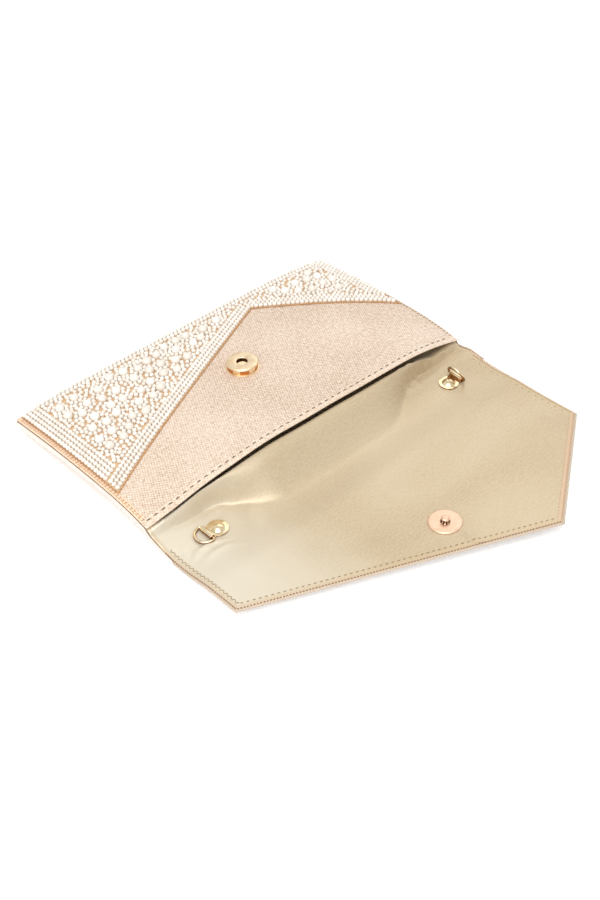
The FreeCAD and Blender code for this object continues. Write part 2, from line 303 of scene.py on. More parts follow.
class Edge:
    """A straight edge from a corner to a tip, with the unit normal on the side of towards."""

    def __init__(self, corner, tip, towards):
        dx, dy = tip[0] - corner[0], tip[1] - corner[1]
        length = math.hypot(dx, dy)
        self.ends = (tip, corner)
        self.corner = corner
        self.normal = (-dy / length, dx / length)
        if self.depth(*towards) < 0:
            self.normal = (-self.normal[0], -self.normal[1])

    def depth(self, x, y):
        """How far a point lies inside the edge."""
        return (x - self.corner[0]) * self.normal[0] + (y - self.corner[1]) * self.normal[1]

    def moved(self, gap):
        """The tip and the corner, moved inside by the gap."""
        return [(x + self.normal[0] * gap, y + self.normal[1] * gap) for x, y in self.ends]


FLAP_LEFT = Edge((-HALF, LEFT_Y), TIP, (0, 0))
FLAP_RIGHT = Edge((HALF, RIGHT_Y), TIP, (0, 0))
V_LEFT = Edge((-HALF, V_LEFT_Y), V_TIP, (-HALF, DEPTH))
V_RIGHT = Edge((HALF, V_RIGHT_Y), V_TIP, (HALF, DEPTH))


# ---------------------------------------------------------------- mesh helpers
def mesh_object(name, points, faces, uvs=None):
    """An object made of points in millimetres and faces, with one UV for each point."""
    data = bpy.data.meshes.new(name)
    data.from_pydata((np.asarray(points, float) * MM).tolist(), [], faces)
    if uvs is not None:
        layer = data.uv_layers.new(name="UVMap")
        order = np.zeros(len(data.loops), np.int32)
        data.loops.foreach_get("vertex_index", order)
        layer.data.foreach_set("uv", np.asarray(uvs, np.float32)[order].ravel())
    data.validate()
    data.shade_smooth()
    obj = bpy.data.objects.new(name, data)
    bpy.context.scene.collection.objects.link(obj)
    return obj


def apply_modifiers(obj):
    """Puts the modifiers' result in the mesh."""
    graph = bpy.context.evaluated_depsgraph_get()
    graph.update()
    made = bpy.data.meshes.new_from_object(obj.evaluated_get(graph))
    old = obj.data
    obj.modifiers.clear()
    obj.data = made
    bpy.data.meshes.remove(old)
    made.name = obj.name
    return obj


def thicken(obj, thickness, offset=-1.0):
    """Real thickness for a sheet, towards its underside."""
    solid = obj.modifiers.new("thickness", "SOLIDIFY")
    solid.thickness = thickness * MM
    solid.offset = offset
    solid.use_quality_normals = True
    apply_modifiers(obj)
    obj.data.set_sharp_from_angle(angle=math.radians(55))
    return obj


def upward(obj):
    """Turns the faces of an open sheet so that most of them look up."""
    mean = sum((p.normal.z * p.area for p in obj.data.polygons), 0.0)
    if mean < 0:
        obj.data.flip_normals()
    return obj


def columns(inset, step):
    """x values from side to side, with one at the flap's tip."""
    left = np.linspace(-HALF + inset, TIP[0], int(round((TIP[0] + HALF) / step)) + 1)
    right = np.linspace(TIP[0], HALF - inset, int(round((HALF - TIP[0]) / step)) + 1)
    return np.concatenate([left, right[1:]])


def grid_between(xs, start, end, rows):
    """A grid whose columns run from start to end, which may be arrays over xs."""
    start, end = np.broadcast_to(start, xs.shape), np.broadcast_to(end, xs.shape)
    y = start[None, :] + np.linspace(0, 1, rows)[:, None] * (end - start)[None, :]
    return np.broadcast_to(xs[None, :], y.shape).copy(), y


def grid_faces(rows, cols):
    """The four-sided faces of a grid, by point number."""
    return [(j * cols + i, j * cols + i + 1, (j + 1) * cols + i + 1, (j + 1) * cols + i)
            for j in range(rows - 1) for i in range(cols - 1)]


def grid_sheet(name, x, y, z, mapped=True):
    """An open sheet over the grid x, y at the heights z, with its face up."""
    plan = np.stack([x.ravel(), y.ravel()], 1)
    points = np.column_stack([plan, z.ravel()])
    return upward(mesh_object(name, points, grid_faces(*x.shape),
                              plan * UV_SCALE if mapped else None))


def recalculate_normals(obj):
    """Turns the faces of a mesh the same way."""
    bm = bmesh.new()
    bm.from_mesh(obj.data)
    bmesh.ops.recalc_face_normals(bm, faces=bm.faces)
    bm.to_mesh(obj.data)
    bm.free()
    return obj


def border(shape, open_start):
    """Grid indexes round the edge: down the left side, along the far row, up the right side."""
    rows, cols = shape
    left = [(j, 0) for j in range(rows)]
    far = [(rows - 1, i) for i in range(1, cols)]
    right = [(j, cols - 1) for j in range(rows - 2, -1, -1)]
    path = left + far + right
    if not open_start:
        path += [(0, i) for i in range(cols - 2, 0, -1)]
    return path


def outward(points, closed):
    """Unit mitre directions, pointing out of the area that the path runs round."""
    if closed:
        before, after = np.roll(points, 1, 0), np.roll(points, -1, 0)
    else:
        before = np.vstack([points[:1], points[:-1]])
        after = np.vstack([points[1:], points[-1:]])

    def unit(v):
        return v / np.maximum(np.linalg.norm(v, axis=1, keepdims=True), 1e-9)

    one, two = unit(points - before), unit(after - points)
    if not closed:
        one[0], two[-1] = two[0], one[-1]
    middle = unit(one + two)
    area = 0.5 * np.sum(points[:, 0] * np.roll(points[:, 1], -1)
                        - np.roll(points[:, 0], -1) * points[:, 1])
    turn = 1.0 if area > 0 else -1.0
    normal = np.stack([middle[:, 1], -middle[:, 0]], 1) * turn
    lean = np.clip(np.sum(middle * two, 1), 0.6, 1)
    return normal / lean[:, None]


def rimmed(name, x, y, height, inset, rim, open_start=True):
    """A sheet over the grid x, y with a rim shaped round its edge.

    rim(x, y) takes the grid's edge points and gives a pair for each step out: how far the step
    lies inside the outline, and its height.
    """
    rows, cols = x.shape
    grid = np.stack([x.ravel(), y.ravel(), height(x, y).ravel()], 1)
    edge = [j * cols + i for j, i in border(x.shape, open_start)]
    pairs = len(edge) - 1 if open_start else len(edge)
    plan = grid[edge, :2]
    direction = outward(plan, not open_start)
    points, uvs = [grid], [grid[:, :2]]
    faces = grid_faces(rows, cols)
    previous, last = edge, grid[edge]
    run = np.zeros(len(edge))
    for inside, level in rim(plan[:, 0], plan[:, 1]):
        where = plan + direction * (inset - inside)
        here = np.column_stack([where, np.broadcast_to(level, (len(edge),))])
        run = run + np.linalg.norm(here - last, axis=1)
        count = sum(map(len, points))
        points.append(here)
        uvs.append(plan + direction * run[:, None])
        now = range(count, count + len(edge))
        for k in range(pairs):
            n = (k + 1) % len(edge)
            faces.append((previous[k], previous[n], now[n], now[k]))
        previous, last = now, here
    obj = mesh_object(name, np.concatenate(points), faces, np.concatenate(uvs) * UV_SCALE)
    return upward(recalculate_normals(obj))


# ---------------------------------------------------------------- materials
def rgb(r, g, b):
    """A colour given as it looks on a screen, as linear values."""
    def linear(c):
        c /= 255
        return c / 12.92 if c <= 0.04045 else ((c + 0.055) / 1.055) ** 2.4
    return (linear(r), linear(g), linear(b), 1.0)


MATERIALS = {}  # by the names given here, to which Blender may add a number


class Shader:
    """Small helper that wires one material's nodes, and lists it under its name."""

    def __init__(self, name, **values):
        self.material = bpy.data.materials.new(name)
        MATERIALS[name] = self.material
        self.material.use_nodes = True
        self.tree = self.material.node_tree
        self.bsdf = self.tree.nodes["Principled BSDF"]
        for key, value in values.items():
            self.bsdf.inputs[key.replace("_", " ")].default_value = value

    def node(self, kind, links=None, **settings):
        """Adds a node; a setting is a property of it or, with spaces for _, one of its inputs."""
        made = self.tree.nodes.new("ShaderNode" + kind)
        for key, value in settings.items():
            if hasattr(made, key):
                setattr(made, key, value)
            else:
                made.inputs[key.replace("_", " ")].default_value = value
        for key, source in (links or {}).items():
            self.tree.links.new(source, made.inputs[key])
        return made

    def link(self, source, socket):
        self.tree.links.new(source, self.bsdf.inputs[socket])

    def place(self, use_uv=True, scale=(1, 1, 1), turn=0.0):
        """Coordinates: the cloth's own, or the object's."""
        source = self.node("TexCoord").outputs["UV" if use_uv else "Object"]
        mapping = self.node("Mapping", {"Vector": source})
        mapping.inputs["Scale"].default_value = scale
        mapping.inputs["Rotation"].default_value = (0, 0, turn)
        return mapping.outputs["Vector"]

    def math(self, operation, a, b=None):
        """Works on one or two values, each a number or another node's output."""
        made = self.node("Math", operation=operation)
        for socket, value in zip(made.inputs, (a, b)):
            if value is None:
                continue
            if isinstance(value, (int, float)):
                socket.default_value = value
            else:
                self.tree.links.new(value, socket)
        return made.outputs[0]

    def weigh(self, *parts):
        """The weighted sum of (source, weight) pairs."""
        total = None
        for source, weight in parts:
            part = self.math("MULTIPLY", source, weight)
            total = part if total is None else self.math("ADD", total, part)
        return total

    def noise(self, scale, detail, use_uv=True, stretch=(1, 1, 1), **settings):
        where = self.place(use_uv, stretch)
        made = self.node("TexNoise", {"Vector": where}, Scale=scale, Detail=detail, **settings)
        return made.outputs["Fac"]

    def mix(self, share, first, second):
        """Mixes two colours, each a constant or another node's output."""
        made = self.node("Mix", data_type="RGBA")
        for key, value in (("Factor", share), (6, first), (7, second)):
            if isinstance(value, tuple):
                made.inputs[key].default_value = value
            else:
                self.tree.links.new(value, made.inputs[key])
        return made.outputs[2]

    def ramp(self, source, stops):
        made = self.node("ValToRGB", {"Fac": source})
        ramp = made.color_ramp
        while len(ramp.elements) < len(stops):
            ramp.elements.new(0.5)
        for element, (at, colour) in zip(ramp.elements, stops):
            element.position = at
            element.color = colour
        return made.outputs["Color"]

    def bump(self, source, strength, distance):
        made = self.node("Bump", {"Height": source})
        made.inputs["Strength"].default_value = strength
        made.inputs["Distance"].default_value = distance * MM
        return made.outputs["Normal"]


def grey(value):
    """A grey, for a ramp of which only the level is used."""
    return (value, value, value, 1.0)


def grained(name, stops, noise, bump=None, **values):
    """A material whose colour follows one noise, and whose surface may rise and fall with it."""
    s = Shader(name, **values)
    level = s.noise(**noise)
    s.link(s.ramp(level, stops), "Base Color")
    if bump:
        s.link(s.bump(level, *bump), "Normal")
    return s


def shimmer_cloth(name, dark, middle, light, glint):
    """Champagne cloth woven with metallic thread: a fine slanting weave that glints."""
    s = Shader(name, Metallic=0.12, Sheen_Weight=0.2, Sheen_Roughness=0.4)
    threads = [
        s.node("TexWave", {"Vector": s.place(turn=math.radians(angle))}, wave_type="BANDS",
               Scale=scale, Distortion=3.6, Detail=2.0, Detail_Scale=7.0).outputs["Fac"]
        for angle, scale in ((28, 22.5), (-58, 20.0))
    ]
    grain = s.noise(55.0, 2.0, Roughness=0.6)
    cloudy = s.noise(1.6, 3.0)
    level = s.weigh((s.math("MULTIPLY", *threads), 0.3), (grain, 0.5), (cloudy, 0.3))
    colour = s.ramp(level, [(0.3, dark), (0.44, middle), (0.58, light), (0.8, glint)])
    speck = s.ramp(s.noise(42.0, 1.0), [(0.2, grey(0.7)), (0.27, grey(0.0))])
    s.link(s.mix(speck, colour, rgb(176, 146, 120)), "Base Color")
    s.link(s.ramp(grain, [(0.3, grey(0.6)), (0.7, grey(0.42))]), "Roughness")
    s.link(s.bump(level, 0.55, 0.3), "Normal")


def satin():
    """Khaki-gold satin: a smooth sheen and fine slubs, pressed darker in the sewn edge."""
    s = Shader("satin", Metallic=0.3, Sheen_Weight=0.25, Sheen_Roughness=0.35)
    threads = s.noise(1.0, 3.0, stretch=(18, 150, 1), Roughness=0.65)
    speckle = s.noise(85.0, 2.0)
    cloudy = s.noise(1.0, 2.5, stretch=(0.9, 1.6, 1), Distortion=0.4)
    level = s.weigh((threads, 0.28), (speckle, 0.32), (cloudy, 0.4))
    middle = s.ramp(level, [
        (0.3, rgb(176, 154, 122)),
        (0.5, rgb(197, 178, 146)),
        (0.72, rgb(210, 193, 165)),
    ])
    # painted sheen: the satin is paler towards the left end, where the loose cloth catches more
    # light
    across = s.node("SeparateXYZ", {"Vector": s.place()}).outputs["X"]
    patch = s.noise(1.0, 2.0, stretch=(2.4, 1.3, 1))
    left = s.math("SUBTRACT", s.math("MULTIPLY", across, -1.4), 0.62)
    left = s.math("ADD", left, s.math("MULTIPLY", patch, 0.9))
    painted_sheen = s.node("Clamp", {"Value": s.math("SUBTRACT", left, 0.35)}).outputs[0]
    pale = s.mix(painted_sheen, middle, rgb(219, 208, 187))
    # tan where the edge is sewn down, and pinker along the far slanting edge
    edge = s.node("Attribute", attribute_name="edge_distance").outputs["Fac"]
    band = s.ramp(s.math("MULTIPLY", edge, 0.1), [(0.3, grey(1.0)), (0.42, grey(0.0))])
    far = s.node("Attribute", attribute_name="far_edge").outputs["Fac"]
    share = s.math("ADD", s.math("MULTIPLY", far, 0.2), 0.5)
    turned = s.mix(far, rgb(203, 178, 140), rgb(208, 176, 144))
    s.link(s.mix(s.math("MULTIPLY", band, share), pale, turned), "Base Color")
    s.link(s.ramp(cloudy, [(0.3, grey(0.42)), (0.7, grey(0.34))]), "Roughness")
    s.link(s.bump(threads, 0.18, 0.12), "Normal")


def edge_cloth(name, dark, middle, light):
    """The same shimmer cloth where it is turned over an edge and drawn tight."""
    s = Shader(name, Roughness=0.5, Metallic=0.12, Sheen_Weight=0.3)
    ribs = s.node("TexWave", {"Vector": s.place(turn=math.radians(45))}, Scale=30.0,
                  Distortion=1.0, Detail=1.0).outputs["Fac"]
    level = s.weigh((ribs, 0.4), (s.noise(110.0, 2.0), 0.6))
    s.link(s.ramp(level, [(0.25, dark), (0.5, middle), (0.8, light)]), "Base Color")
    s.link(s.bump(level, 0.4, 0.2), "Normal")


def pearl():
    """Glossy ivory imitation pearl, each a slightly different white."""
    s = Shader("pearl", Roughness=0.22, Coat_Weight=0.5, Coat_Roughness=0.08,
               Specular_IOR_Level=0.6)
    own = s.node("NewGeometry").outputs["Random Per Island"]
    soft = s.noise(900.0, 1.0, use_uv=False)
    s.link(s.ramp(s.weigh((own, 0.75), (soft, 0.25)), [
        (0.0, rgb(226, 214, 200)),
        (0.45, rgb(236, 227, 216)),
        (1.0, rgb(244, 239, 232)),
    ]), "Base Color")
    s.link(s.bump(soft, 0.1, 0.05), "Normal")


def bead_ground():
    """Golden netting between the pearls."""
    grained("bead_ground", [(0.3, rgb(214, 180, 140)), (0.6, rgb(238, 208, 170))],
            dict(scale=60.0, detail=3.0), (0.5, 0.3), Roughness=0.5, Metallic=0.35)


def thread(name, dark, light):
    """Spun sewing thread."""
    grained(name, [(0.3, dark), (0.7, light)], dict(scale=2600.0, detail=2.0, use_uv=False),
            (0.4, 0.05), Roughness=0.6, Sheen_Weight=0.3)


def gold_cord():
    """Metallic twisted braid."""
    grained("gold_cord", [(0.3, rgb(178, 124, 74)), (0.65, rgb(218, 168, 112))],
            dict(scale=1800.0, detail=2.0, use_uv=False), (0.35, 0.06),
            Metallic=0.75, Roughness=0.38)


def metal(name, dark, light, rough_low, rough_high, painted_reflection=None):
    """Plated metal with faint wear and fine scratches. Where the last argument gives (colour,
    level), its sides steeper than level get that colour as painted reflection and shade, as if
    darker surroundings showed in them."""
    s = Shader(name, Metallic=1.0)
    wear = s.noise(260.0, 4.0, use_uv=False, Roughness=0.6)
    lines = s.noise(1.0, 2.0, use_uv=False, stretch=(300, 4000, 300))
    plate = s.ramp(wear, [(0.3, dark), (0.6, light)])
    if painted_reflection:
        colour, level = painted_reflection
        # painted reflection and shade: steep sides take the darker colour
        normal = s.node("NewGeometry").outputs["Normal"]
        up = s.node("SeparateXYZ", {"Vector": normal}).outputs["Z"]
        steep = s.ramp(up, [(level, grey(1.0)), (level + 0.25, grey(0.0))])
        plate = s.mix(steep, plate, colour)
    s.link(plate, "Base Color")
    s.link(s.ramp(wear, [(0.35, grey(rough_low)), (0.75, grey(rough_high))]), "Roughness")
    s.link(s.bump(lines, 0.06, 0.03), "Normal")


def socket_floor_painted_glow():
    """The pale floor of the snap's socket, made to glow faintly: painted light that keeps it bright
    in the bore.
    """
    s = grained("socket_floor_painted_glow", [(0.3, rgb(238, 208, 164)), (0.7, rgb(252, 232, 200))],
                dict(scale=700.0, detail=3.0, use_uv=False), Roughness=0.5, Emission_Strength=0.25)
    s.bsdf.inputs["Emission Color"].default_value = rgb(250, 224, 184)


def board():
    """Grey-white fibre board."""
    grained("board", [(0.3, rgb(196, 190, 178)), (0.7, rgb(224, 219, 208))],
            dict(scale=1.0, detail=4.0, use_uv=False, stretch=(400, 90, 400)),
            (0.3, 0.1), Roughness=0.85)


shimmer_cloth("shimmer_cloth", rgb(181, 154, 131), rgb(211, 188, 166), rgb(231, 211, 192),
              rgb(244, 230, 216))
shimmer_cloth("hem_cloth", rgb(194, 168, 143), rgb(219, 196, 173), rgb(236, 217, 198),
              rgb(247, 234, 219))
shimmer_cloth("side_cloth", rgb(214, 172, 138), rgb(236, 200, 166), rgb(246, 216, 188),
              rgb(252, 230, 208))
satin()
edge_cloth("lip_cloth", rgb(218, 196, 180), rgb(232, 215, 202), rgb(244, 232, 222))
edge_cloth("flap_lip", rgb(178, 157, 140), rgb(196, 176, 160), rgb(216, 199, 185))
edge_cloth("tan_cloth", rgb(177, 157, 131), rgb(195, 178, 153), rgb(213, 200, 180))
pearl()
bead_ground()
# painted shade: the mouth's stitches are near black for the shadow in their holes and groove
thread("painted_shade_thread", rgb(58, 48, 38), rgb(96, 82, 66))
thread("khaki_thread", rgb(128, 104, 66), rgb(184, 156, 110))
thread("red_thread", rgb(120, 76, 56), rgb(170, 124, 98))
thread("rose_thread", rgb(184, 136, 108), rgb(212, 170, 142))
thread("gold_thread", rgb(142, 96, 56), rgb(190, 142, 96))
gold_cord()
# gold_plate's last entry is painted reflection and shade: brown on its steep sides
metal("gold_plate", rgb(226, 196, 146), rgb(250, 230, 192), 0.1, 0.2, (rgb(150, 104, 58), 0.3))
metal("pale_gold", rgb(240, 208, 164), rgb(253, 230, 194), 0.3, 0.4)
# painted reflection: amber patches for the snap case's side wall
metal("amber_painted_reflection", rgb(176, 104, 56), rgb(214, 146, 88), 0.3, 0.4)
metal("rose_gold", rgb(238, 198, 166), rgb(250, 214, 186), 0.42, 0.5)
metal("steel", rgb(150, 150, 152), rgb(196, 196, 198), 0.3, 0.5)
# socket: near-black brown, used as painted shade in the snap's bore and painted reflection on the
# stud's side
metal("socket", rgb(52, 32, 22), rgb(92, 60, 42), 0.3, 0.5)
metal("magnet", rgb(40, 40, 44), rgb(84, 84, 88), 0.4, 0.6)
socket_floor_painted_glow()
board()


def finish_piece(obj, material, body=None):
    """Gives a piece its material and slot, and the body that it rides on if one is given."""
    obj.data.materials.clear()
    obj.data.materials.append(MATERIALS[material])
    if body:
        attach(obj, body)
    return obj


def bend_at_first_crease(obj):
    """Bakes the placement of cloth that runs from the pouch to the spine into its mesh."""
    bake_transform(obj)


def bend_at_second_crease(obj):
    """Bakes the placement of cloth that runs from the spine to the flap into its mesh."""
    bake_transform(obj)


def paint(obj, material, chosen):
    """Another finish on the faces that chosen(x, y, z, up) picks, up being the normal's height."""
    obj.data.materials.append(MATERIALS[material])
    index = len(obj.data.materials) - 1
    for face in obj.data.polygons:
        if chosen(*(c / MM for c in face.center), face.normal.z):
            face.material_index = index


def paint_round(obj, middle, material, chosen):
    """The same, for chosen(reach, turn, rise) about a middle."""
    def picked(x, y, z, up):
        dx, dy, rise = np.array((x, y, z)) - middle
        return chosen(math.hypot(dx, dy), math.degrees(math.atan2(dy, dx)), rise)

    paint(obj, material, picked)


# ---------------------------------------------------------------- outer cloths
def lip(low, high):
    """A rounded edge that turns from a level surface round the outline, as (inside, height)."""
    span = high - low
    return [
        (1.0, low + 0.02 * span),
        (0.45, low + 0.10 * span),
        (0.12, low + 0.26 * span),
        (0.0, low + 0.5 * span),
        (0.12, low + 0.76 * span),
        (0.5, low + 0.93 * span),
        (1.2, high),
        (2.0, high - 0.1 * span),
    ]


def front_cloth():
    """Shimmer cloth over the front panel, turned in at its sides and round the mouth edge."""
    ys = np.concatenate([np.linspace(FOLD_IN, 8, 17), np.linspace(8, DEPTH - FOLD_IN, 72)[1:]])
    x, y = np.meshgrid(columns(FOLD_IN + FRONT_INSET, 1.6), ys)

    def rim(bx, by):
        top = front_top(bx, by)
        return lip(top, top - FRONT_THICK) + [(4.0, top - FRONT_THICK - 0.05)]

    obj = rimmed("front_cloth", x, y, front_top, FOLD_IN, rim, open_start=False)
    thicken(obj, CLOTH)
    finish_piece(obj, "shimmer_cloth", "pouch")
    paint(obj, "side_cloth", lambda x, y, z, up: x < BEAD_SIDE - HALF)
    paint(obj, "hem_cloth", lambda x, y, z, up: y < HEM)
    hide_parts("front_cover", "mouth_binding", "side_seam_left", "side_seam_right")


def outer_pouch():
    """Outer cloth under the pouch and half the spine, turned up at its sides and far edge."""
    ys = np.concatenate([np.linspace(SPLIT_Y, 2, 26), np.linspace(2, DEPTH - FOLD_IN, 60)[1:]])
    x, y = np.meshgrid(columns(FOLD_IN, 2.4), ys)

    def rim(bx, by):
        low = outer_low(bx, by)
        high = low + STACK + 0.25
        seam = smooth((by + 1.5) / 3)
        high = high * (1 - seam) + (front_top(np.sign(bx) * HALF, by) - 0.9) * seam
        far = smooth((by - (DEPTH - 3)) / 1.2)
        wall = front_top(bx, DEPTH) - FRONT_THICK - 0.15
        high = high * (1 - far) + wall * far
        start, stop = low + 0.9, high - 0.45
        steps = [(1.0, low + 0.04), (0.45, low + 0.2), (0.12, low + 0.5), (0.0, start)]
        steps += [(0.0, start + (stop - start) * t) for t in (0.35, 0.7, 1.0)]
        steps += [(0.08, high - 0.2), (0.26, high - 0.04), (0.46, high - 0.1), (0.55, high - 0.9)]
        return steps

    obj = rimmed("outer_cloth_pouch", x, y, outer_low, FOLD_IN, rim)
    thicken(obj, CLOTH, offset=1.0)
    finish_piece(obj, "shimmer_cloth")
    paint(obj, "lip_cloth", lambda x, y, z, up: x < 1.1 - HALF and y < DEPTH - 1.5)
    paint(obj, "hem_cloth", lambda x, y, z, up: x > HALF - 1.1 and y < DEPTH - 1.5)
    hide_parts("back_cover", "bottom_gusset", "spine_cover")
    bend_at_first_crease(obj)


def flap_grid(inset, step, rows):
    """Grid from half way across the spine to the flap's slanting edges."""
    xs = columns(inset, step)
    ends = tip_edge(xs) + inset / np.where(xs < TIP[0], FLAP_LEFT.normal[1], FLAP_RIGHT.normal[1])
    ends[np.argmin(np.abs(xs - TIP[0]))] = TIP[1] + inset * TIP_LEAN
    return grid_between(xs, SPLIT_Y, ends, rows)


def outer_flap():
    """Outer cloth under the flap and half the spine, turned up round the edge."""
    x, y = flap_grid(FOLD_IN, 2.4, 64)

    def rim(bx, by):
        low = outer_low(bx, by)
        thick = lining_top(bx, by) - low
        return lip(low, low + thick + 0.05)[:-1] + [(1.5, low + 0.75 * thick)]

    def at_edge(x, y):
        return abs(x) > HALF - 1.7 or y < float(tip_edge(x)) + 1.9

    obj = rimmed("outer_cloth_flap", x, y, outer_low, FOLD_IN, rim)
    thicken(obj, CLOTH, offset=1.0)
    finish_piece(obj, "shimmer_cloth")
    paint(obj, "flap_lip", lambda x, y, z, up: at_edge(x, y))
    paint(obj, "tan_cloth", lambda x, y, z, up: at_edge(x, y) and up > 0.35)
    paint(obj, "hem_cloth", lambda x, y, z, up: x > HALF - 1.7 and up > 0.0)
    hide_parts("flap_cover", "flap_edge_binding")
    bend_at_second_crease(obj)


# ---------------------------------------------------------------- linings
def lining_rim(bx, by):
    """The satin's cut edge, turned down under the outer cloth's lip."""
    top = lining_face(bx, by)
    return [(1.9, top - 0.02), (1.5, top - 0.12), (1.25, top - 0.35), (1.2, top - 0.75)]


def edge_distance(obj):
    """Stores, for the satin's colour, how far each point lies inside the flap's outline in
    millimetres, and whether the right slanting edge is the nearest."""
    x, y, _ = np.array([v.co for v in obj.data.vertices]).T / MM
    right = FLAP_RIGHT.depth(x, y)
    inside = np.minimum(HALF - np.abs(x), np.minimum(FLAP_LEFT.depth(x, y), right))
    for name, values in (("edge_distance", inside), ("far_edge", right <= inside)):
        attribute = obj.data.attributes.new(name, "FLOAT", "POINT")
        attribute.data.foreach_set("value", values.astype(np.float32))


def lining_pouch():
    """Satin of the back and half the spine, which swells up under the mouth."""
    ys = np.concatenate([np.linspace(SPLIT_Y, 8, 44), np.linspace(8, DEPTH - 4, 44)[1:]])
    x, y = np.meshgrid(columns(LINING_IN, 1.8), ys)
    obj = rimmed("lining_pouch", x, y, lining_face, LINING_IN, lining_rim)
    edge_distance(obj)
    thicken(obj, SATIN)
    finish_piece(obj, "satin")
    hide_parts("back_lining", "spine_lining")
    bend_at_first_crease(obj)


def lining_flap():
    """Satin of the flap and half the spine."""
    x, y = flap_grid(LINING_IN, 1.6, 92)
    obj = rimmed("lining_flap", x, y, lining_face, LINING_IN, lining_rim)
    edge_distance(obj)
    thicken(obj, SATIN)
    finish_piece(obj, "satin")
    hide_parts("flap_lining")
    bend_at_second_crease(obj)


def lining_front():
    """Satin under the front panel, seen through the mouth."""
    x, y = np.meshgrid(columns(4.0, 2.4), np.linspace(3.0, DEPTH - 4, 60))
    sag = 0.5 * np.sin(x / 9.0) * np.exp(-((y - 3) / 30) ** 2) * (1 - np.abs(x / HALF) ** 6)
    z = front_top(x, y) - FRONT_THICK - 0.2 - 0.8 * smooth((y - 3) / 6) + np.minimum(sag, 0)
    obj = grid_sheet("lining_front", x, y, z)
    thicken(obj, SATIN)
    finish_piece(obj, "satin", "pouch")
    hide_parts("front_lining")


# ---------------------------------------------------------------- boards
def shaped_board(name, node, x, y, top, thickness, body):
    """A stiffening board that follows the cloth over it."""
    obj = grid_sheet(name, x, y, top, mapped=False)
    thicken(obj, thickness)
    finish_piece(obj, "board", body)
    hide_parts(node)


def boards():
    """The boards of front, back, spine and flap, shaped to their cloths."""
    x, y = np.meshgrid(np.linspace(-HALF + 2, HALF - 2, 100), np.linspace(1.0, DEPTH - 1.2, 60))
    shaped_board("front_stiffener", "front_board", x, y, front_top(x, y) - 0.42, 0.6, "pouch")
    across = np.linspace(-HALF + 1.6, HALF - 1.6, 120)
    # further in than the CAD board, so that it clears the spine's when the purse is shut
    start = node_box("back_board")[0][1] + 4.5
    x, y = np.meshgrid(across, np.linspace(start, DEPTH - 3, 60))
    shaped_board("back_stiffener", "back_board", x, y, outer_low(x, y) + 1.45, 1.0, "pouch")
    low, high = node_box("spine_stiffener")
    across = np.linspace(-HALF + 1.6, HALF - 1.6, 100)
    x, y = np.meshgrid(across, np.linspace(low[1], high[1], 14))
    shaped_board("spine_stiffening", "spine_stiffener", x, y, lining_top(x, y) - 0.4, 0.6, "spine")
    xs = columns(1.8, 2.4)
    x, y = grid_between(xs, node_box("flap_board")[1][1], tip_edge(xs) + 2.1, 40)
    shaped_board("flap_stiffener", "flap_board", x, y, lining_top(x, y) - 0.4, 1.0, "flap")


# ---------------------------------------------------------------- beadwork
SMALL_PEARL = (1.32, 1.46)  # radii
LARGE_PEARL = 2.8
ROW_PEARL = 1.43
SMALL_LIMIT = 1.7  # a larger radius gets the finer ball
SMALL_STAND = 0.66  # how high a pearl's middle stands over the cloth, as a share of its radius
LARGE_STAND = 0.52
FLOOR_GAP = 0.03  # the least height of the flap's pearls over the floor
BALL_CUT = 138  # a ball ends this many degrees from its top
EDGE_SHARE = 0.9  # share of a pearl's radius that has to be inside the beadwork's outline
ROW_PITCH = 2.85
PEARL_ROOM = 2.7  # between two large ones
CELL = 6  # of the table that finds neighbours


class Beads:
    """Places pearls so that they hardly overlap."""

    def __init__(self, inside):
        self.inside = inside
        self.cells = {}
        self.found = []

    def key(self, x, y):
        return int(math.floor(x / CELL)), int(math.floor(y / CELL))

    def free(self, x, y, r, touch):
        """Whether no pearl lies too near."""
        kx, ky = self.key(x, y)
        for i in (-1, 0, 1):
            for j in (-1, 0, 1):
                for bx, by, br in self.cells.get((kx + i, ky + j), ()):
                    if math.hypot(bx - x, by - y) < touch * (br + r):
                        return False
        return True

    def put(self, x, y, r, touch, room=0.0):
        """Adds a pearl if it fits; touch is how near two may lie, as a share of their radii."""
        if not self.inside(x, y, r) or not self.free(x, y, r + room, touch):
            return False
        self.cells.setdefault(self.key(x, y), []).append((x, y, r))
        self.found.append((x, y, r))
        return True

    def rows(self, a, b, inward, count):
        """Neat rows of pearls parallel to the line from a to b."""
        length = math.dist(a, b)
        for k in range(count):
            off = ROW_PEARL + k * ROW_PITCH * 0.97
            for n in range(int(length / ROW_PITCH) + 1):
                t = (n + 0.5 * (k % 2)) * ROW_PITCH / length
                x = a[0] + (b[0] - a[0]) * t + inward[0] * off
                y = a[1] + (b[1] - a[1]) * t + inward[1] * off
                self.put(x, y, ROW_PEARL, 0.9)

    def fill(self, reach, low, high, rng):
        """Scatters large pearls, rings each with small ones, then fills in what is left. The
        number of tries goes with the area."""
        area = 2 * reach * (high - low)

        def spot():
            return rng.uniform(-reach, reach), rng.uniform(low, high)

        large = []
        for _ in range(int(area / 3)):
            x, y = spot()
            if self.put(x, y, LARGE_PEARL * rng.uniform(0.93, 1.02), 1.0, room=PEARL_ROOM):
                large.append(self.found[-1])
        for x, y, size in large:
            r = rng.uniform(*SMALL_PEARL)
            number = int(math.pi / math.asin(r / (size + r)))
            start = rng.uniform(0, 6.28)
            for n in range(number):
                turn = start + 2 * math.pi * n / number
                self.put(x + (size + r) * math.cos(turn), y + (size + r) * math.sin(turn), r, 0.93)
        for _ in range(int(area * 2.2)):
            self.put(*spot(), rng.uniform(*SMALL_PEARL), 0.95)
        for _ in range(int(area * 1.5)):
            self.put(*spot(), SMALL_PEARL[0] * 0.92, 0.86)


